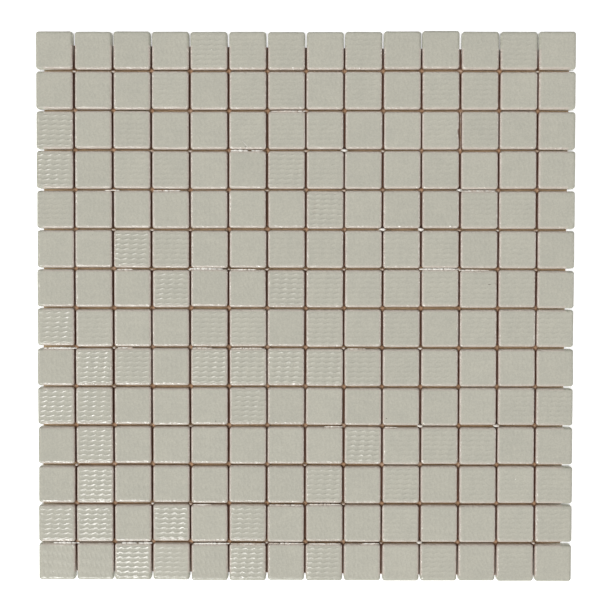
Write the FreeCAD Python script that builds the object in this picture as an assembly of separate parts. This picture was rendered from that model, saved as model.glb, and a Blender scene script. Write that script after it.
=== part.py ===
import FreeCAD, Part
import math
import os
import random

# A sheet of small glass tiles, glued face down on kraft paper in 14 rows of 14.
# The sheet lies flat with its paper underneath and the tiles' backs upwards.
# Millimetres, +Z up, +Y towards the first row, +X to the right along a row.
# The origin is under the middle of the tile field, on the paper's underside.

# Tile: its width lies along the row and its length across it
tile_width = 20.0
tile_length = 20.3
tile_thickness = 4.0
tile_corner_radius = 1.6
side_draft_degrees = 2.0
back_edge_radius = 0.8
face_edge_radius = 0.35
# The back's round shoulder stays under this share of the corner radius that it runs round
shoulder_share_limit = 0.9

# Laying pattern
tiles_along_row = 14
row_count = 14
joint_along_row = 0.65
joint_between_rows = 0.86

# How far a tile may stray from its place, as a share of the joint beside it, and how far it may turn
stray_share = 0.25
stray_turn_degrees = 0.3
stray_seed = 14

# Kraft paper, cut smaller than the tile field and glued on a little out of square
paper_thickness = 0.15
paper_setback_left = 2.6
paper_setback_right = 4.1
paper_setback_first_row = 7.9
paper_setback_last_row = 3.2
paper_turn_degrees = -0.5

# Tiles that slid clearly out of line: (row, place in the row) and the slide as a share of the joint
slid_tiles = {
    (1, 11): (-0.38, 0.55),
    (2, 9): (-0.38, 0.0),
    (3, 7): (0.30, 0.0),
    (3, 11): (-0.30, 0.0),
    (3, 12): (0.38, 0.0),
    (7, 5): (0.0, 0.45),
    (7, 11): (0.0, 0.50),
    (7, 14): (0.0, -0.36),
    (8, 1): (0.0, 0.50),
    (13, 4): (0.0, 0.36),
}

pitch_along_row = tile_width + joint_along_row
pitch_between_rows = tile_length + joint_between_rows
field_width = tiles_along_row * pitch_along_row - joint_along_row
field_length = row_count * pitch_between_rows - joint_between_rows


def rounded_oblong(width, length, corner_radius, height):
    # A level wire with round corners, centred on the Z axis
    reach_x = width / 2 - corner_radius
    reach_y = length / 2 - corner_radius
    corners = []
    for quarter, (side_x, side_y) in enumerate(((1, 1), (-1, 1), (-1, -1), (1, -1))):
        centre = FreeCAD.Vector(side_x * reach_x, side_y * reach_y, height)
        circle = Part.Circle(centre, FreeCAD.Vector(0, 0, 1), corner_radius)
        corners.append(Part.Arc(circle, quarter * math.pi / 2, (quarter + 1) * math.pi / 2))
    edges = []
    for corner, following in zip(corners, corners[1:] + corners[:1]):
        edges.append(corner.toShape())
        edges.append(Part.LineSegment(corner.EndPoint, following.StartPoint).toShape())
    return Part.Wire(edges)


def edges_at_height(solid, height):
    # The edges that lie wholly in one level plane
    tolerance = 1e-6
    return [
        edge for edge in solid.Edges
        if abs(edge.BoundBox.ZMin - height) < tolerance and abs(edge.BoundBox.ZMax - height) < tolerance
    ]


def make_tile():
    # A pressed tile, face down: full size at the face, narrower at the back so that it draws from its mould,
    # with a round shoulder all round the back and a small arris round the face
    draft_inset = tile_thickness * math.tan(math.radians(side_draft_degrees))
    back_corner_radius = tile_corner_radius - draft_inset
    face = rounded_oblong(tile_width, tile_length, tile_corner_radius, 0)
    back = rounded_oblong(
        tile_width - 2 * draft_inset, tile_length - 2 * draft_inset, back_corner_radius, tile_thickness
    )
    body = Part.makeLoft([face, back], True, True)
    shoulder_radius = min(back_edge_radius, shoulder_share_limit * back_corner_radius)
    body = body.makeFillet(shoulder_radius, edges_at_height(body, tile_thickness))
    return body.makeFillet(face_edge_radius, edges_at_height(body, 0))


def tile_place(row, place):
    # Centre of a tile on the even grid; row 1 is furthest along +Y and place 1 is furthest along -X
    x = -field_width / 2 + tile_width / 2 + (place - 1) * pitch_along_row
    y = field_length / 2 - tile_length / 2 - (row - 1) * pitch_between_rows
    return x, y


def lay_tile(tile, row, place, chance):
    # One tile on top of the paper, a little off the even grid as laid tiles are
    x, y = tile_place(row, place)
    stray_x = chance.uniform(-stray_share, stray_share)
    stray_y = chance.uniform(-stray_share, stray_share)
    turn = chance.uniform(-stray_turn_degrees, stray_turn_degrees)
    if (row, place) in slid_tiles:
        stray_x, stray_y = slid_tiles[(row, place)]
    laid = tile.copy()
    laid.Placement = FreeCAD.Placement(
        FreeCAD.Vector(x + stray_x * joint_along_row, y + stray_y * joint_between_rows, paper_thickness),
        FreeCAD.Rotation(FreeCAD.Vector(0, 0, 1), turn),
    )
    return laid


def make_rows():
    # Every row of the sheet as one group of separate tiles
    tile = make_tile()
    chance = random.Random(stray_seed)
    rows = []
    for row in range(1, row_count + 1):
        rows.append([lay_tile(tile, row, place, chance) for place in range(1, tiles_along_row + 1)])
    return rows


def make_paper():
    # The backing paper, set back from the field's edges so that the outer tiles overhang it
    width = field_width - paper_setback_left - paper_setback_right
    length = field_length - paper_setback_first_row - paper_setback_last_row
    middle_x = (paper_setback_left - paper_setback_right) / 2
    middle_y = (paper_setback_last_row - paper_setback_first_row) / 2
    paper = Part.makeBox(width, length, paper_thickness, FreeCAD.Vector(-width / 2, -length / 2, 0))
    paper.Placement = FreeCAD.Placement(
        FreeCAD.Vector(middle_x, middle_y, 0),
        FreeCAD.Rotation(FreeCAD.Vector(0, 0, 1), paper_turn_degrees),
    )
    return paper


def middle_of(rows):
    # The middle of the laid field, which the strays shift slightly from the even grid's middle
    box = Part.makeCompound([tile for row in rows for tile in row]).BoundBox
    return FreeCAD.Vector(box.Center.x, box.Center.y, 0)


def export(name, shape):
    shape.exportStep(os.path.join("parts", name + ".step"))


os.makedirs("parts", exist_ok=True)
tile_rows = make_rows()
to_origin = middle_of(tile_rows) * -1
for number, tiles in enumerate(tile_rows, start=1):
    row_of_tiles = Part.makeCompound(tiles)
    row_of_tiles.translate(to_origin)
    export("tile_row_%02d" % number, row_of_tiles)
kraft_paper = make_paper()
kraft_paper.translate(to_origin)
export("kraft_paper", kraft_paper)
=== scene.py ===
import bpy
import cmath
import math
import numpy as np
import random
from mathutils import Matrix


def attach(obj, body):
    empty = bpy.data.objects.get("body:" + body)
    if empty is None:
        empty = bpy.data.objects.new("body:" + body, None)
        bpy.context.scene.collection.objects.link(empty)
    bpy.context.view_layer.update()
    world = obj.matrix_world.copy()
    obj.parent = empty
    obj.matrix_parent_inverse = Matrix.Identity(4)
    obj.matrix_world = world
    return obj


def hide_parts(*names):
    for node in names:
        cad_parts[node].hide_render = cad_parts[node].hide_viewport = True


# A sheet of small ribbed glass tiles, face down on kraft paper, seen from straight above.
# Lengths are in millimetres up to the point where a mesh is made, and in metres from there on.

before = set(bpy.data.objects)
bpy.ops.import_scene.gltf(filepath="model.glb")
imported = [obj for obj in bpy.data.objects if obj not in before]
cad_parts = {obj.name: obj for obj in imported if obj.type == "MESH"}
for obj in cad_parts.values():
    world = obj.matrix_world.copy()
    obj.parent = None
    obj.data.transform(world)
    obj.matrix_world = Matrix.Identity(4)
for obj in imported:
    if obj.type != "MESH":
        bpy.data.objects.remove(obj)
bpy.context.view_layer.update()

mm = 0.001
chance_seed = 41
chance = random.Random(chance_seed)

# The sheet's even grid, the same as that of its solids
tile_side = 20.0
tile_length = 20.3
tile_height = 4.0
tiles_along_row = 14
row_count = 14
pitch_along_row = 20.65
pitch_between_rows = 21.16
paper_thickness = 0.15

# Outline of a tile: its round corners, and how far from its middle the sides run straight
corner_radius = 1.6
corner_segments = 4
straight_reach = tile_side / 2 - corner_radius

# The shoulder round the back, as rings. Each one has its distance in from the tile's side, its drop below the
# back, and its shares of the ribs' relief and of the painted light and shade of the edges.
shoulder_rings = (
    (1.35, 0.03, 0.9, 0.3),
    (0.95, 0.10, 0.6, 0.8),
    (0.50, 0.32, 0.3, 1.0),
    (0.16, 0.80, 0.05, 1.0),
)

# The wall under the shoulder ends just inside the tile's side, above a small arris round the face.
# The middle of the arris lies the given share of its radius in from the side and up from the face.
foot_inset = 0.02
arris_radius = 0.35
arris_middle = 0.3

# Pressed ribs on the back
ribs_per_tile = 7
rib_pitch = 2.55
rib_height = 0.22
rib_sharpness = 7.0

# Each rib wavers along its length in a soft wave that climbs slowly and drops fast. The wave is skewed a
# little from rib to rib, and the weights are those of its first harmonics.
wave_length = 4.8
wave_reach = 0.36
wave_skew = 0.12
harmonic_weights = (1, -0.35, 0.12)
# The ribs stand higher where a wave climbs and fade where it drops, by this share
rib_swell = 0.55
# They also rise and fall slowly along the tile, by the first share. This slow wave turns by one radian in the
# given length, and starts at so many times the start of the other wave.
slow_swell = 0.15
slow_radian_length = 5.0
slow_start = 3

# The fine grid over the back: its steps along the ribs, and its lines across them. They lie beside each crest
# at these shares of the pitch, and one more lies in each valley.
along_segments = 36
lines_at_crest = (-0.22, -0.1, 0.0, 0.1, 0.22)
across_segments = ribs_per_tile * (len(lines_at_crest) + 1)

# Which way the ribs run in every tile: h along the row, H along it and pressed deeper, D deeper still,
# v across it. Row 1 is the furthest along +Y.
rib_kinds = """
vvvvHhhvhvvvhv
vvvhvhhvhvhhvv
DvhvvhHhvvhhvv
DvhhvvDhvvhvvv
hvvvvvvDvvvhhv
vvDHvvhhvhhvhv
vvvDvvDHhhhhhv
HhvvHHvHhhvhhh
vDHvDDDDHhhvvv
HHvvvHvvvvvvhh
vHvvvvvvDhHhvv
vHvvvvvHvHvhhh
hHvHvHvvvhvvhh
vvHhvHvHvvhvhv
""".split()
# The range of each kind's depth, as shares of the full height
rib_depths = {"h": (0.33, 0.42), "H": (0.6, 0.72), "D": (0.95, 1.1), "v": (0.17, 0.24)}

# The back of a tile leans by up to this slope, both ways
lean_limit = 0.003

# A flake has gone from the back of one tile, at its +X side: the tile's row and place, the flake's two ends
# from the tile's middle, and its width and depth at the wide end
chipped_tile = (3, 11)
chip_narrow_end = -5.2
chip_wide_end = 1.0
chip_width = 1.35
chip_depth = 0.65
# How round its outline and its hollow are, how steeply the hollow starts, and how far down the side it goes
chip_outline_power = 0.6
chip_hollow_power = 0.5
chip_steepness = 2
chip_reach_down = 2 * chip_depth

# Over the paper the tiles' sides are painted brown, for dried paste and as painted shade of the deep joints,
# from the first height down and fully from the second. On the sides that face along X the painted shade
# reaches higher.
stain_and_shade_top = 2.8
stain_and_shade_full = 1.8
column_shade_lift = 1.0
# Beyond the paper they are painted pale, as light from the floor, from the first height down and fully from
# the second
floor_light_top = 3.5
floor_light_full = 2.7
# The colours of two sides of a tile blend over this distance at its corner
corner_blend = 2.0

# The paper rises a little in the joints. Where the joints cross it keeps the colour that it has between the
# rows, up to the first of two distances from the row joint, and has the darker colour, painted shade, of the
# joints between the tiles from the second.
paper_rise = 0.12
paper_rise_reach = 0.6
crossing_reach = 0.6
crossing_end = 1.2

# Dried paste in the joints. Lengths run along X in tiles, counted from the sheet's -X side, so that
# 6.0 is the joint after the sixth tile. Each list belongs to the joint below the row it is named by.
paste_smears = {
    2: ((6.1, 7.0),),
    3: ((5.06, 5.5), (5.6, 5.85)),
    4: ((1.8, 2.1), (3.05, 3.75), (11.0, 11.85)),
    6: ((2.1, 2.5), (3.95, 4.7), (5.06, 5.7), (9.95, 10.9), (10.9, 11.65)),
    8: ((0.2, 1.0), (2.1, 2.5), (4.06, 4.5), (5.06, 5.85), (8.1, 8.5)),
    10: ((7.5, 7.9), (9.07, 9.28)),
    12: ((4.08, 4.55), (6.07, 6.9), (7.1, 7.9)),
    13: (
        (0.4, 1.0), (2.2, 2.5), (2.65, 2.95), (4.08, 4.95),
        (5.06, 5.9), (6.05, 6.9), (7.1, 7.9), (8.5, 8.9),
    ),
}
thick_smears = (
    (3, 5.06), (6, 3.95), (6, 9.95), (8, 0.2), (13, 0.4), (13, 2.2), (13, 2.65), (13, 4.08),
)
# A smear is a chain of lumps. Their lengths and the gaps between them are in tiles; below 0 they overlap.
smear_lengths = (0.05, 0.16)
smear_gaps = (-0.05, 0.01)
smear_levels = (3.4, 3.6)
smear_half_height = 0.46
smear_half_width = {"thick": 0.58, "thin": 0.40}
smear_width_strays = (0.85, 1.1)
smear_whites = {"thick": (0.9, 1.0), "thin": (0.6, 0.95)}
# The size left at a smear's ends, a lump's half-length as a share of its length, and how far it stands out
# from the tile's side as a share of its half-width, less how far it is sunk in there
smear_end_share = 0.55
smear_half_length = 0.55
smear_standing_out = 0.3
smear_sunk_in = 0.1

# One joint between two tiles of a row has paste along it: the row, and the place of the tile before it.
# Its lumps lie closer to the second tile, and their half-length is more than half of their spacing.
smeared_column = (3, 11)
column_smear_lumps = 9
column_smear_shift = 0.12
column_smear_levels = (2.2, 2.6)
column_smear_reach = (0.25, 0.7 * tile_length / column_smear_lumps, 0.4)
column_smear_whites = (0.05, 0.4)

# Lumps of paste where four tiles meet, by the joint's row and the places of the tiles before it
paste_lumps = {
    1: (1, 2, 13),
    3: (3, 4, 7, 8, 9, 13),
    4: (6, 8, 11),
    5: (2, 3, 4, 9, 10, 11, 12, 13),
    6: (3, 5, 6, 7, 8, 9, 13),
    8: (2, 8, 10),
    9: (2,),
    10: (4, 10, 12),
    11: (1, 7),
    12: (3, 4, 8),
    13: (6, 9, 10, 13),
}
thick_lumps = ((3, 8), (4, 11), (5, 9), (5, 10), (10, 10), (10, 12), (13, 10))
# The ranges of a lump's top above the paper's underside, its half-length, half-width and whiteness.
# The thin ones lie closer to the row below. Every other crossing has a low brown bead.
thick_lump = {"top": (3.2, 3.5), "length": (1.5, 2.0), "width": (0.8, 1.0), "white": (0.9, 1.0)}
thin_lump = {"top": (2.5, 3.1), "length": (0.9, 1.3), "width": (0.5, 0.7), "white": (0.3, 0.7)}
thin_lump_shift = 0.35
brown_bead = {"top": (1.2, 1.7), "length": (1.5, 1.8), "width": (1.5, 1.8)}
bead_white = 0.0

# A lump's mesh: steps from pole to pole, points round each ring, and swells of up to this share round it,
# which repeat so many times
lump_levels = 6
lump_steps = 10
lump_swell = 0.12
lump_swell_repeats = (2, 3, 4)

# Flecks on the backs, the dark ones painted as the shade of small pits, from the middle of the tile at (row,
# place):
# (row, place, x, y, half-length, half-width, turn in degrees, whiteness)
marks = (
    (6, 2, -0.5, 7.3, 0.30, 0.25, 0, 0.0),
    (7, 12, 5.8, 2.5, 0.75, 0.22, 5, 0.0),
    (10, 5, 3.4, -8.1, 0.35, 0.28, 30, 0.1),
    (10, 10, -7.9, -6.3, 0.30, 0.30, 0, 0.0),
    (4, 3, 5.2, -7.9, 0.9, 0.2, -4, 0.3),
    (3, 6, -1.4, -7.2, 2.2, 0.16, -48, 0.9),
    (3, 6, -1.1, -8.9, 0.45, 0.35, 0, 0.2),
    (12, 13, -0.2, 3.1, 0.35, 0.3, 20, 1.0),
    (1, 5, 1.5, 0.5, 0.3, 0.2, 60, 0.9),
    (14, 1, -2.0, -5.5, 0.4, 0.22, 15, 0.9),
)
mark_sunk_in = 0.08
mark_half_height = 0.07

# Colours. The two of a pair are mixed by clouds, by a side's direction or by whiteness.
glass_colours = ((0.482, 0.471, 0.402), (0.507, 0.493, 0.418))
# Painted light and shade of the shoulders: paler and warmer over the paper, greyer beyond it
painted_rim_shade_colour = (0.43, 0.425, 0.35)
painted_rim_light_colour = (0.565, 0.50, 0.435)
shoulder_colour_share = 0.8
# Brown of dried paste with painted shade of the joints, and the darker painted shade of the joints between
# the tiles of a row
stain_and_shade_colours = ((0.50, 0.36, 0.25), (0.20, 0.09, 0.065))
painted_floor_light_colour = (0.85, 0.85, 0.78)
row_joint_colours = ((0.61, 0.43, 0.25), (0.71, 0.52, 0.32))
# Painted shade: the paper in the narrow joints between the tiles of a row
column_joint_shade_colours = ((0.28, 0.14, 0.09), (0.36, 0.18, 0.12))
fibre_colour = (0.30, 0.17, 0.09)
fibre_colour_share = 0.3
# Brown and off-white paste; the off-white is partly painted highlight
paste_and_highlight_colours = ((0.42, 0.25, 0.14), (0.87, 0.85, 0.79))
# Painted shade of small pits, and pale flecks
pit_shade_and_fleck_colours = ((0.16, 0.14, 0.11), (0.78, 0.76, 0.70))
floor_colour = (0.9, 0.9, 0.9)
light_colour = (1, 1, 1)

# The glass: its refraction, the level of its reflection and its lower level on the shoulders beyond the
# paper, and how deep its surface is uneven, with the share of that which its fine skin has
glass_refraction = 1.5
glass_reflection = 0.5
outer_rim_reflection = 0.2
glass_unevenness = 0.45
glass_skin_share = 0.045
# How much darker and lighter one tile may be than the next
tone_limits = (0.985, 1.015)

# Roughness and unevenness of the other materials. Paste grows rougher from the second of two whitenesses down
# to the first, by the given roughness.
paper_roughness = 0.75
paper_unevenness = 0.03
weave_spread = (0.8, 1.2)
paste_unevenness = 0.05
brown_paste_whites = (0.1, 0.7)
brown_paste_roughness = 0.35
fleck_roughness = 0.6
fleck_unevenness = 0.02
floor_roughness = 0.9

# Floor and room: the floor's size in metres and how brightly it glows, and how bright the room is to the
# camera and as a light
floor_size = 6
floor_glow = 0.6
room_seen = 1.0
room_level = 0.08

# Lamps: azimuth from -Y towards +X and elevation from the floor in degrees, width and height in metres,
# and the radiance that the lamp shows
lamps = {
    "window": (-27, 46, (1.8, 3.6), 17.2),
    "window_side": (-8, 42, (2.6, 3.6), 5.25),
    "left_fill": (-90, 33, (1.8, 5.6), 8.0),
    "right_fill": (90, 29, (1.8, 5.2), 6.1),
    "back_fill": (180, 40, (4, 3.2), 2.25),
}
lamp_distance = 8.0

# Camera: lens in millimetres, place and nearest distance in metres, and turn in degrees
camera_lens = 54.46
camera_nearest = 0.01
camera_place = (-0.00158, 0.01768, 0.49175)
camera_turn = (-1.60, 0.16, 0.092)


def sawtooth(phase):
    # A soft wave that climbs slowly and drops fast
    return sum(weight * np.sin(order * phase) for order, weight in enumerate(harmonic_weights, start=1))


def smooth_step(value):
    value = np.clip(value, 0, 1)
    return value * value * (3 - 2 * value)


def outline_points(inset, side_lines):
    # A rounded square, counter-clockwise. Its sides have points at the given lines: the first lines are for
    # the right and left sides, the second for the top and bottom.
    half = tile_side / 2 - inset
    radius = corner_radius - inset
    points = []
    for quarter in range(4):
        turn = cmath.rect(1, math.pi / 2 * quarter)
        points += [turn * complex(half, line) for line in side_lines[quarter % 2]]
        for step in range(1, corner_segments):
            bend = cmath.rect(radius, math.pi / 2 * step / corner_segments)
            points.append(turn * (complex(straight_reach, straight_reach) + bend))
    return points


def lines_across_ribs():
    # Grid lines that lie close together on the crests and far apart in the valleys
    lines = [-straight_reach, straight_reach]
    for rib in range(ribs_per_tile):
        crest = rib - (ribs_per_tile - 1) / 2
        lines += [crest * rib_pitch + share * rib_pitch for share in lines_at_crest]
        if rib > 0:
            lines.append((crest - 0.5) * rib_pitch)
    return np.sort(lines)


class TileShape:
    # The one shape that every tile is made from: a fine grid over the back, rings down the shoulder,
    # and a plain wall, arris and face. "along" and "across" are the directions of the ribs.

    def __init__(self):
        self.along_lines = np.linspace(-straight_reach, straight_reach, along_segments + 1)
        self.across_lines = lines_across_ribs()
        self.plan = []
        self.height = []
        self.relief_share = []
        self.edge = []
        self.faces = []
        border = self.add_back()
        self.add_sides(border)
        self.plan = np.array([(p.real, p.imag) for p in self.plan])
        self.height = np.array(self.height)
        self.relief_share = np.array(self.relief_share)
        self.edge = np.array(self.edge)

    def add_points(self, points, height, relief_share, edge):
        first = len(self.plan)
        self.plan += points
        self.height += [height] * len(points)
        self.relief_share += [relief_share] * len(points)
        self.edge += [edge] * len(points)
        return list(range(first, first + len(points)))

    def add_back(self):
        # Returns the grid's border, point for point beside the rings: a corner arc shares the grid's corner
        points = [complex(along, across) for along in self.along_lines for across in self.across_lines]
        numbers = self.add_points(points, tile_height, 1.0, 0.0)
        grid = np.reshape(numbers, (along_segments + 1, across_segments + 1))
        for near, far in zip(grid.tolist(), grid[1:].tolist()):
            self.faces += zip(near, far, far[1:], near[1:])
        border = []
        for side in (grid[-1], grid[::-1, -1], grid[0, ::-1], grid[:, 0]):
            border += side.tolist() + [int(side[-1])] * (corner_segments - 1)
        return border

    def add_sides(self, ring):
        fine_lines = (self.across_lines, self.along_lines)
        for inset, drop, relief_share, edge in shoulder_rings:
            points = outline_points(inset, fine_lines)
            lower = self.add_points(points, tile_height - drop, relief_share, edge)
            self.join_rings(ring, lower)
            ring = lower
        ends = (self.across_lines[[0, -1]], self.along_lines[[0, -1]])
        foot = self.add_points(outline_points(foot_inset, ends), arris_radius, 0.0, 1.0)
        self.join_wall(ring, foot)
        middle = arris_middle * arris_radius
        for inset, height in ((middle, middle), (arris_radius, 0.0)):
            lower = self.add_points(outline_points(inset, ends), height, 0.0, 1.0)
            self.join_rings(foot, lower)
            foot = lower
        self.faces.append(tuple(reversed(foot)))

    def join_rings(self, upper, lower):
        for here in range(len(lower)):
            after = (here + 1) % len(lower)
            if upper[here] == upper[after]:
                self.faces.append((upper[here], lower[here], lower[after]))
            else:
                self.faces.append((upper[here], lower[here], lower[after], upper[after]))

    def join_wall(self, upper, lower):
        # Down from a ring with many points along each side to one with only the sides' ends
        here = 0
        foot = 0
        for side_segments in (across_segments, along_segments) * 2:
            side = upper[here:here + side_segments + 1]
            self.faces.append((lower[foot], lower[foot + 1], *reversed(side)))
            here += side_segments
            foot += 1
            for _ in range(corner_segments):
                after = (here + 1) % len(upper)
                foot_after = (foot + 1) % len(lower)
                self.faces.append((upper[here], lower[foot], lower[foot_after], upper[after]))
                here = after
                foot = foot_after


def wave_phase(along, across, traits):
    # How far a tile's wave has turned at the given points
    return 2 * math.pi * (along - wave_skew * across) / wave_length + traits["phase"]


def relief(along, across, traits):
    # Depth of the back below its highest level: ribs that waver along their length
    phase = wave_phase(along, across, traits)
    waver = wave_reach * sawtooth(phase)
    slow_wave = np.sin(along / slow_radian_length + slow_start * traits["phase"])
    depth = rib_height * traits["depth"] * (1 + slow_swell * slow_wave)
    depth = depth * (1 + rib_swell * np.cos(phase))
    crest = (1 + np.cos(2 * math.pi * (across - waver) / rib_pitch)) / 2
    return -depth * (1 - crest ** rib_sharpness)


def tile_points(shape, traits):
    # The shape's points for one tile, its ribs pressed in and turned the right way.
    # Away from the edges the points follow the ribs' wave.
    along, across = shape.plan.T
    clear_of_edge = smooth_step(straight_reach - np.abs(across)) * (shape.edge == 0)
    across = across + wave_reach * sawtooth(wave_phase(along, across, traits)) * clear_of_edge
    height = shape.height + shape.relief_share * relief(along, across, traits)
    if traits["along_row"]:
        x, y = along, across
    else:
        x, y = -across, along
    lean_x, lean_y = traits["lean"]
    drop = lean_x * x + lean_y * y + (abs(lean_x) + abs(lean_y)) * tile_side / 2
    height = height - drop * shape.height / tile_height
    y = y * tile_length / tile_side
    if traits["chipped"]:
        height = height - chip_loss(x, y) * (height > tile_height - chip_reach_down)
    return np.column_stack((x, y, height))


def chip_loss(x, y):
    # How much of the back a flake has taken away: a scoop that widens along the tile's +X side and then ends
    share = (y - chip_narrow_end) / (chip_wide_end - chip_narrow_end)
    width = chip_width * np.clip(share, 0, 1) ** chip_outline_power * (share < 1)
    reach = (x - tile_side / 2 + width) / chip_width
    return chip_depth * np.clip(chip_steepness * reach, 0, 1) ** chip_hollow_power


def x_facing_share(points, middle):
    # 0 on a tile's sides that face along Y and 1 on those that face along X
    flat = np.abs(points[:, :2] - middle)
    further_along_x = flat[:, 0] - flat[:, 1] * tile_side / tile_length
    return smooth_step(further_along_x / corner_blend + 0.5)


def paper_corners():
    # The paper's four corners in plan: lower left, lower right, upper right, upper left
    points = np.array([vertex.co[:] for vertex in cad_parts["kraft_paper"].data.vertices]) / mm
    signs = ((-1, -1), (1, -1), (1, 1), (-1, 1))
    return [points[np.argmax(points[:, 0] * sx + points[:, 1] * sy)][:2] for sx, sy in signs]


def over_paper(points):
    # 1 over the paper and 0 beyond it, with a soft step of 1 mm between
    corners = paper_corners()
    share = 1
    for corner, following in zip(corners, corners[1:] + corners[:1]):
        edge = following - corner
        inwards = np.array((-edge[1], edge[0])) / np.hypot(*edge)
        share = share * smooth_step((points[:, :2] - corner) @ inwards)
    return share


def row_node(row):
    return "tile_row_%02d" % row


def tile_places(node):
    # Centre and turn of every tile in the mesh of a row's solids.
    # A square's turn shows in the fourth power of its points.
    points = np.array([vertex.co[:] for vertex in node.data.vertices]) / mm
    first = -(tiles_along_row - 1) / 2 * pitch_along_row
    which = np.rint((points[:, 0] - first) / pitch_along_row).astype(int)
    places = []
    for place in range(tiles_along_row):
        own = points[which == place]
        centre = (own.min(0) + own.max(0)) / 2
        flat = (own[:, 0] - centre[0]) + 1j * (own[:, 1] - centre[1])
        turn = cmath.phase(-(flat ** 4).sum()) / 4
        places.append((centre[0], centre[1], turn))
    return places


def add_mesh(name, points, faces, material):
    mesh = bpy.data.meshes.new(name)
    mesh.from_pydata((np.asarray(points) * mm).tolist(), [], faces)
    mesh.validate()
    mesh.shade_smooth()
    mesh.materials.append(material)
    piece = bpy.data.objects.new(name, mesh)
    bpy.context.scene.collection.objects.link(piece)
    return piece


def add_attribute(piece, name, values):
    attribute = piece.data.attributes.new(name, "FLOAT", "POINT")
    attribute.data.foreach_set("value", np.asarray(values, np.float32))


def tile_traits(row, place):
    # How one tile differs from the next
    kind = rib_kinds[row - 1][place - 1]
    return {
        "along_row": kind != "v",
        "phase": chance.uniform(0, 2 * math.pi),
        "depth": chance.uniform(*rib_depths[kind]),
        "lean": (chance.uniform(-lean_limit, lean_limit), chance.uniform(-lean_limit, lean_limit)),
        "tone": chance.uniform(-1, 1),
        "chipped": (row, place) == chipped_tile,
    }


def add_row(shape, row, own_places, material):
    node = row_node(row)
    points = []
    faces = []
    tones = []
    sides = []
    for place, (x, y, turn) in enumerate(own_places, start=1):
        traits = tile_traits(row, place)
        own = tile_points(shape, traits)
        turned = (own[:, 0] + 1j * own[:, 1]) * cmath.rect(1, turn)
        own = np.column_stack((turned.real + x, turned.imag + y, own[:, 2] + paper_thickness))
        first = (place - 1) * len(own)
        points.append(own)
        faces += [tuple(first + corner for corner in face) for face in shape.faces]
        tones += [traits["tone"]] * len(own)
        sides.append(x_facing_share(own, (x, y)))
    points = np.vstack(points)
    piece = add_mesh("ribbed_tiles_%02d" % row, points, faces, material)
    add_attribute(piece, "tone", tones)
    add_attribute(piece, "edge", np.tile(shape.edge, tiles_along_row))
    add_attribute(piece, "over_paper_weight", over_paper(points))
    add_attribute(piece, "side", np.concatenate(sides))
    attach(piece, "root")
    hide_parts(node)


def joint_centres(count, pitch):
    return (np.arange(1, count) - count / 2) * pitch


def paper_lines(centres, reaches):
    # Grid lines between the paper's edges: along every joint, beside it at the given reaches,
    # and under the middle of each tile
    lines = []
    for centre in centres:
        lines += [centre, *(centre - reach for reach in reaches), *(centre + reach for reach in reaches)]
    between = (centres[1:] + centres[:-1]) / 2
    return np.sort(np.concatenate((lines, between)))


def points_between(start, end, shares):
    return start + np.outer(shares, end - start)


def paper_grid(inner_x, inner_y):
    # X and Y of the points in the paper's grid: straight lines inside, and its slanted edges round them
    lower_left, lower_right, upper_right, upper_left = paper_corners()
    along_x = (inner_x - lower_left[0]) / (lower_right[0] - lower_left[0])
    along_y = (inner_y - lower_left[1]) / (upper_left[1] - lower_left[1])
    along_x = (0, *along_x, 1)
    along_y = (0, *along_y, 1)
    x, y = np.meshgrid((0, *inner_x, 0), (0, *inner_y, 0))
    x[:, 0] = points_between(lower_left, upper_left, along_y)[:, 0]
    x[:, -1] = points_between(lower_right, upper_right, along_y)[:, 0]
    y[0] = points_between(lower_left, lower_right, along_x)[:, 1]
    y[-1] = points_between(upper_left, upper_right, along_x)[:, 1]
    return x.ravel(), y.ravel()


def from_nearest(lines, values):
    return np.abs(values[:, np.newaxis] - lines).min(axis=1)


def tent(distance):
    # The paper rises a little in the middle of a joint, where nothing holds it down
    return paper_rise * smooth_step(1 - distance / paper_rise_reach)


def joint_kind(from_row_joint):
    # 0 in the joints between rows and where the joints cross, 1 in those between the tiles of a row, where
    # the paper is painted darker as shade
    return np.clip((from_row_joint - crossing_reach) / (crossing_end - crossing_reach), 0, 1)


def sheet_faces(rows, columns):
    # Faces of a grid of points, of the same grid under it, and of the narrow strip that joins their borders
    count = rows * columns
    grid = np.arange(count).reshape(rows, columns)
    faces = []
    for low, high in zip(grid.tolist(), grid[1:].tolist()):
        for quad in zip(low, low[1:], high[1:], high):
            faces.append(quad)
            faces.append(tuple(count + corner for corner in reversed(quad)))
    border = np.concatenate((grid[0], grid[1:, -1], grid[-1, -2::-1], grid[-2:0:-1, 0])).tolist()
    for here, after in zip(border, border[1:] + border[:1]):
        faces.append((here, here + count, after + count, after))
    return faces


def add_paper(material):
    joint_x = joint_centres(tiles_along_row, pitch_along_row)
    joint_y = joint_centres(row_count, pitch_between_rows)
    inner_x = paper_lines(joint_x, (paper_rise_reach,))
    inner_y = paper_lines(joint_y, (crossing_reach, crossing_end))
    x, y = paper_grid(inner_x, inner_y)
    from_row_joint = from_nearest(joint_y, y)
    rise = np.maximum(tent(from_nearest(joint_x, x)), tent(from_row_joint))
    zeros = np.zeros(len(x))
    top = np.column_stack((x, y, paper_thickness + rise))
    underside = np.column_stack((x, y, zeros))
    faces = sheet_faces(len(inner_y) + 2, len(inner_x) + 2)
    piece = add_mesh("kraft_sheet", np.vstack((top, underside)), faces, material)
    add_attribute(piece, "side", np.concatenate((joint_kind(from_row_joint), zeros)))
    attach(piece, "root")
    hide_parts("kraft_paper")


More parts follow.
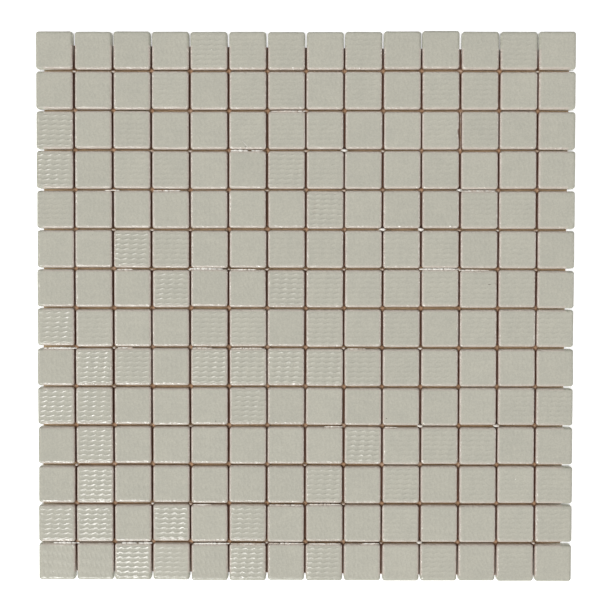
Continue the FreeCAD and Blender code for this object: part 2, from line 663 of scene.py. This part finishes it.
class Lumps:
    # Many small uneven lumps in one mesh, each an egg with its poles up and down

    def __init__(self):
        self.points = []
        self.faces = []
        self.whites = []

    def add(self, centre, reach, white, turn=0.0):
        # reach is the egg's half-length, half-width and half-height
        first = len(self.points)
        half_length, half_width, half_height = reach
        swells = [
            (repeats, chance.uniform(0, lump_swell), chance.uniform(0, 2 * math.pi))
            for repeats in lump_swell_repeats
        ]
        for level in range(1, lump_levels):
            polar = math.pi * level / lump_levels
            for step in range(lump_steps):
                around = 2 * math.pi * step / lump_steps
                swell = 1 + sum(size * math.sin(repeats * around + start) for repeats, size, start in swells)
                widest = complex(half_length * math.cos(around), half_width * math.sin(around)) * swell
                flat = widest * math.sin(polar) * cmath.rect(1, turn)
                self.add_point(centre, flat, half_height * math.cos(polar))
        self.add_point(centre, 0, half_height)
        self.add_point(centre, 0, -half_height)
        self.whites += [white] * (len(self.points) - first)
        self.join(first)

    def add_point(self, centre, flat, up):
        x, y, z = centre
        self.points.append((x + flat.real, y + flat.imag, z + up))

    def join(self, first):
        bottom = len(self.points) - 1
        top = bottom - 1
        lowest = first + (lump_levels - 2) * lump_steps
        for step in range(lump_steps):
            after = (step + 1) % lump_steps
            self.faces.append((top, first + step, first + after))
            self.faces.append((bottom, lowest + after, lowest + step))
            for ring in range(first, lowest, lump_steps):
                below = ring + lump_steps
                self.faces.append((ring + step, below + step, below + after, ring + after))

    def finish(self, name, material):
        piece = add_mesh(name, self.points, self.faces, material)
        add_attribute(piece, "white", self.whites)
        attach(piece, "root")


def add_smear(lumps, places, row, start, end):
    # A broken ridge of paste on the +Y sides of the tiles under a joint, high up between the tiles
    kind = "thick" if (row, start) in thick_smears else "thin"
    at = start
    while at < end:
        length = chance.uniform(*smear_lengths)
        middle = at + length / 2
        x, y, turn = places[row][int(middle)]
        offset = (middle % 1 - 0.5) * pitch_along_row
        side = y + tile_length / 2 + offset * math.tan(turn)
        share = min(max((middle - start) / (end - start), 0), 1)
        taper = smear_end_share + (1 - smear_end_share) * math.sin(math.pi * share)
        width = smear_half_width[kind] * taper * chance.uniform(*smear_width_strays)
        white = chance.uniform(*smear_whites[kind])
        ridge = side + smear_standing_out * width - smear_sunk_in
        centre = (x + offset, ridge, chance.uniform(*smear_levels))
        reach = (length * pitch_along_row * smear_half_length, width, smear_half_height * taper)
        lumps.add(centre, reach, white, turn)
        at += length + chance.uniform(*smear_gaps)


def crossing_middle(places, row, place):
    # The middle between four tiles that meet
    corners = [places[r][p][:2] for r in (row - 1, row) for p in (place - 1, place)]
    return np.mean(corners, axis=0)


def draw_flat_reach(kind):
    return chance.uniform(*kind["length"]), chance.uniform(*kind["width"])


def add_crossing_lump(lumps, places, row, place):
    # Paste that fills up from the paper where four tiles meet, and holds to their corners
    thick = (row, place) in thick_lumps
    kind = thick_lump if thick else thin_lump
    x, y = crossing_middle(places, row, place)
    top = chance.uniform(*kind["top"])
    flat_reach = draw_flat_reach(thick_lump)
    if not thick:
        # A thin lump's reach is drawn again, from its own ranges
        flat_reach = draw_flat_reach(thin_lump)
        y -= thin_lump_shift
    lumps.add((x, y, top / 2), (*flat_reach, top / 2), chance.uniform(*kind["white"]))


def add_crossing_bead(lumps, places, row, place):
    # A low brown bead of paste on the paper at a crossing
    x, y = crossing_middle(places, row, place)
    top = chance.uniform(*brown_bead["top"])
    lumps.add((x, y, top / 2), (*draw_flat_reach(brown_bead), top / 2), bead_white)


def add_column_smear(lumps, places, row, place):
    # Thin brown paste along a joint between two tiles of a row, closer to the second tile
    x, y = np.mean([places[row - 1][p][:2] for p in (place - 1, place)], axis=0)
    for step in range(column_smear_lumps):
        along = (step + 0.5) / column_smear_lumps - 0.5
        centre = (x + column_smear_shift, y + along * tile_length, chance.uniform(*column_smear_levels))
        lumps.add(centre, column_smear_reach, chance.uniform(*column_smear_whites))


def add_paste(places, material):
    lumps = Lumps()
    for row, spans in paste_smears.items():
        for start, end in spans:
            add_smear(lumps, places, row, start, end)
    for row, lump_places in paste_lumps.items():
        for place in lump_places:
            add_crossing_lump(lumps, places, row, place)
    for row in range(1, row_count):
        for place in range(1, tiles_along_row):
            if place not in paste_lumps.get(row, ()):
                add_crossing_bead(lumps, places, row, place)
    add_column_smear(lumps, places, *smeared_column)
    lumps.finish("dried_paste", material)


def add_marks(places, material):
    # Flat flecks that lie in the ribs of the backs; the dark ones are painted shade of small pits
    lumps = Lumps()
    for row, place, x, y, half_length, half_width, turn, white in marks:
        tile_x, tile_y, _ = places[row - 1][place - 1]
        centre = (tile_x + x, tile_y + y, paper_thickness + tile_height - mark_sunk_in)
        lumps.add(centre, (half_length, half_width, mark_half_height), white, math.radians(turn))
    lumps.finish("flecks", material)


class Shader:
    # A material's nodes, with short names for the few kinds that are used here

    def __init__(self, name):
        self.material = bpy.data.materials.new(name)
        self.material.use_nodes = True
        self.nodes = self.material.node_tree.nodes
        self.links = self.material.node_tree.links
        self.surface = self.nodes["Principled BSDF"]
        self.place = self.nodes.new("ShaderNodeTexCoord").outputs["Object"]

    def join(self, output, socket):
        self.links.new(output, socket)

    def give(self, value, socket):
        # A value is another node's output, a colour or a number
        if isinstance(value, bpy.types.NodeSocket):
            self.join(value, socket)
        elif isinstance(value, tuple):
            socket.default_value = (*value, 1)
        else:
            socket.default_value = value

    def set(self, name, value):
        self.give(value, self.surface.inputs[name])

    def noise(self, scale, detail, place=None):
        node = self.nodes.new("ShaderNodeTexNoise")
        node.inputs["Scale"].default_value = scale
        node.inputs["Detail"].default_value = detail
        self.join(place or self.place, node.inputs["Vector"])
        return node.outputs["Fac"]

    def clouds(self, scale, detail, low, high, spread=(0.3, 0.7)):
        # Noise between two values. spread is the stretch of the plain noise that runs from one to the other.
        return self.remap(self.noise(scale, detail), *spread, low, high)

    def stretched(self, scale, turn):
        node = self.nodes.new("ShaderNodeMapping")
        node.inputs["Scale"].default_value = scale
        node.inputs["Rotation"].default_value = (0, 0, math.radians(turn))
        self.join(self.place, node.inputs["Vector"])
        return node.outputs["Vector"]

    def attribute(self, name):
        node = self.nodes.new("ShaderNodeAttribute")
        node.attribute_name = name
        return node.outputs["Fac"]

    def height(self):
        node = self.nodes.new("ShaderNodeSeparateXYZ")
        self.join(self.place, node.inputs[0])
        return node.outputs["Z"]

    def remap(self, value, from_low, from_high, to_low, to_high):
        node = self.nodes.new("ShaderNodeMapRange")
        names = ("From Min", "From Max", "To Min", "To Max")
        for name, number in zip(names, (from_low, from_high, to_low, to_high)):
            node.inputs[name].default_value = number
        self.join(value, node.inputs["Value"])
        return node.outputs["Result"]

    def mix(self, share, first, second):
        node = self.nodes.new("ShaderNodeMix")
        node.data_type = "RGBA"
        for name, value in (("Factor", share), ("A", first), ("B", second)):
            self.give(value, node.inputs[name])
        return node.outputs["Result"]

    def math(self, operation, first, second):
        node = self.nodes.new("ShaderNodeMath")
        node.operation = operation
        self.give(first, node.inputs[0])
        self.give(second, node.inputs[1])
        return node.outputs["Value"]

    def shaded(self, colour, shade):
        # A colour made lighter or darker by a factor
        node = self.nodes.new("ShaderNodeVectorMath")
        node.operation = "SCALE"
        self.join(colour, node.inputs[0])
        self.join(shade, node.inputs["Scale"])
        return node.outputs["Vector"]

    def bump(self, height, distance):
        node = self.nodes.new("ShaderNodeBump")
        node.inputs["Distance"].default_value = distance
        self.join(height, node.inputs["Height"])
        self.set("Normal", node.outputs["Normal"])


def glass_colour(shader, edge, on_paper, off_paper):
    cloud = shader.clouds(scale=130, detail=3, low=0, high=1)
    colour = shader.mix(cloud, *glass_colours)
    # Painted light and shade on the shoulders: over the paper they are painted paler and warmer, as lit rims;
    # beyond it they are painted greyer, as shade, and are duller
    shoulder = shader.mix(on_paper, painted_rim_shade_colour, painted_rim_light_colour)
    colour = shader.mix(shader.math("MULTIPLY", edge, shoulder_colour_share), colour, shoulder)
    # Painted shade with the brown of dried paste: over the paper the lower sides are painted brown, and the
    # sides that face along X darker and higher up, as the shade of the narrow joints
    side = shader.attribute("side")
    height = shader.height()
    lifted = shader.math("SUBTRACT", height, shader.math("MULTIPLY", side, column_shade_lift * mm))
    low = shader.remap(lifted, stain_and_shade_full * mm, stain_and_shade_top * mm, 1, 0)
    patchy = shader.clouds(scale=350, detail=3, low=0.75, high=1, spread=(0.35, 0.6))
    over_paper_weight = shader.math("MULTIPLY", shader.math("MULTIPLY", low, on_paper), patchy)
    colour = shader.mix(over_paper_weight, colour, shader.mix(side, *stain_and_shade_colours))
    # Painted light: beyond the paper the sides are painted pale for the light from the floor that comes up
    # through the glass
    under_shoulder = shader.remap(height, floor_light_full * mm, floor_light_top * mm, 1, 0)
    return shader.mix(shader.math("MULTIPLY", under_shoulder, off_paper), colour, painted_floor_light_colour)


def glass_material():
    # Opaque grey-green glass: cloudy and finely grained, with painted light and shade on its edges and sides
    shader = Shader("vitreous_glass")
    edge = shader.attribute("edge")
    on_paper = shader.attribute("over_paper_weight")
    off_paper = shader.math("SUBTRACT", 1.0, on_paper)
    grain = shader.clouds(scale=1300, detail=3, low=0.94, high=1.06, spread=(0.35, 0.65))
    tone = shader.remap(shader.attribute("tone"), -1, 1, *tone_limits)
    shade = shader.math("MULTIPLY", grain, tone)
    shader.set("Base Color", shader.shaded(glass_colour(shader, edge, on_paper, off_paper), shade))
    dull = shader.math("MULTIPLY", edge, off_paper)
    shader.set("Specular IOR Level", shader.remap(dull, 0, 1, glass_reflection, outer_rim_reflection))
    shader.set("Roughness", shader.clouds(scale=600, detail=3, low=0.13, high=0.20))
    shader.set("IOR", glass_refraction)
    lumpy = shader.clouds(scale=600, detail=2, low=-0.36, high=0.36, spread=(0.25, 0.75))
    uneven_edge = shader.math("MULTIPLY", edge, lumpy)
    skin = shader.math("MULTIPLY", shader.noise(scale=1500, detail=3), glass_skin_share)
    shader.bump(shader.math("ADD", uneven_edge, skin), glass_unevenness * mm)
    return shader.material


def kraft_material():
    # Brown paper with fibres that run two ways; between the tiles of a row it is painted darker, as shade,
    # than between the rows
    shader = Shader("kraft_paper")
    cloud = shader.clouds(scale=90, detail=4, low=0, high=1)
    row_joint = shader.mix(cloud, *row_joint_colours)
    column_joint_shade = shader.mix(cloud, *column_joint_shade_colours)
    colour = shader.mix(shader.attribute("side"), row_joint, column_joint_shade)
    fibres = shader.noise(scale=900, detail=3, place=shader.stretched(scale=(1, 0.12, 1), turn=12))
    other_fibres = shader.noise(scale=900, detail=3, place=shader.stretched(scale=(0.12, 1, 1), turn=-20))
    weave = shader.remap(shader.math("ADD", fibres, other_fibres), *weave_spread, 0, 1)
    colour = shader.mix(shader.math("MULTIPLY", weave, fibre_colour_share), colour, fibre_colour)
    shader.set("Base Color", colour)
    shader.set("Roughness", paper_roughness)
    shader.bump(weave, paper_unevenness * mm)
    return shader.material


def paste_material():
    # Dried paste with a crackled skin: brownish and matt where thin, off-white and glossy where thick; the
    # off-white is also painted bright as the highlights on the paste
    shader = Shader("dried_paste")
    cloud = shader.clouds(scale=500, detail=4, low=-0.2, high=0.2)
    white = shader.math("ADD", shader.attribute("white"), cloud)
    shader.set("Base Color", shader.mix(shader.remap(white, 0, 1, 0, 1), *paste_and_highlight_colours))
    gloss = shader.clouds(scale=900, detail=2, low=0.18, high=0.4)
    matt = shader.remap(white, *brown_paste_whites, brown_paste_roughness, 0)
    shader.set("Roughness", shader.math("ADD", gloss, matt))
    shader.bump(shader.noise(scale=2500, detail=4), paste_unevenness * mm)
    return shader.material


def fleck_material():
    # Dark flecks painted as the shade of small pits, and pale flecks and streaks
    shader = Shader("flecks")
    cloud = shader.clouds(scale=3000, detail=2, low=-0.1, high=0.1)
    white = shader.math("ADD", shader.attribute("white"), cloud)
    shader.set("Base Color", shader.mix(shader.remap(white, 0, 1, 0, 1), *pit_shade_and_fleck_colours))
    shader.set("Roughness", fleck_roughness)
    shader.bump(cloud, fleck_unevenness * mm)
    return shader.material


def add_floor():
    # A white floor that keeps the sheet's soft shadow, and glows only where it is looked at
    bpy.ops.mesh.primitive_plane_add(size=floor_size)
    floor = bpy.context.object
    floor.name = "floor"
    shader = Shader("floor")
    floor.data.materials.append(shader.material)
    shader.set("Base Color", floor_colour)
    shader.set("Roughness", floor_roughness)
    shader.set("Emission Color", light_colour)
    path = shader.nodes.new("ShaderNodeLightPath")
    seen = shader.math("MAXIMUM", path.outputs["Is Camera Ray"], path.outputs["Is Glossy Ray"])
    seen = shader.math("MAXIMUM", seen, path.outputs["Is Transmission Ray"])
    shader.set("Emission Strength", shader.math("MULTIPLY", seen, floor_glow))


def add_room():
    # A white room that the camera sees brighter than it lights the sheet
    world = bpy.data.worlds.new("soft_room")
    bpy.context.scene.world = world
    world.use_nodes = True
    nodes = world.node_tree.nodes
    links = world.node_tree.links
    path = nodes.new("ShaderNodeLightPath")
    background = nodes["Background"]
    background.inputs["Color"].default_value = (*light_colour, 1)
    strength = nodes.new("ShaderNodeMapRange")
    strength.inputs["To Min"].default_value = room_level
    strength.inputs["To Max"].default_value = room_seen
    links.new(path.outputs["Is Camera Ray"], strength.inputs["Value"])
    links.new(strength.outputs["Result"], background.inputs["Strength"])


def add_lamp(name, azimuth, elevation, size, level):
    light = bpy.data.lights.new(name, "AREA")
    light.shape = "RECTANGLE"
    light.size, light.size_y = size
    light.energy = level * math.pi * size[0] * size[1]
    lamp = bpy.data.objects.new(name, light)
    bpy.context.scene.collection.objects.link(lamp)
    flat = cmath.rect(math.cos(math.radians(elevation)), math.radians(azimuth - 90))
    lamp.location = np.array((flat.real, flat.imag, math.sin(math.radians(elevation)))) * lamp_distance
    lamp.rotation_mode = "QUATERNION"
    lamp.rotation_quaternion = lamp.location.to_track_quat("Z", "Y")


def add_camera():
    camera = bpy.data.objects.new("camera", bpy.data.cameras.new("camera"))
    bpy.context.scene.collection.objects.link(camera)
    camera.data.lens = camera_lens
    camera.data.clip_start = camera_nearest
    camera.location = camera_place
    camera.rotation_euler = [math.radians(turn) for turn in camera_turn]
    bpy.context.scene.camera = camera


tile_shape = TileShape()
glass = glass_material()
places = [tile_places(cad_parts[row_node(row)]) for row in range(1, row_count + 1)]
for row, row_places in enumerate(places, start=1):
    add_row(tile_shape, row, row_places, glass)
add_paper(kraft_material())
add_paste(places, paste_material())
add_marks(places, fleck_material())
add_floor()
add_room()
for lamp_name, lamp_values in lamps.items():
    add_lamp(lamp_name, *lamp_values)
add_camera()
bpy.context.scene.view_settings.view_transform = "Standard"
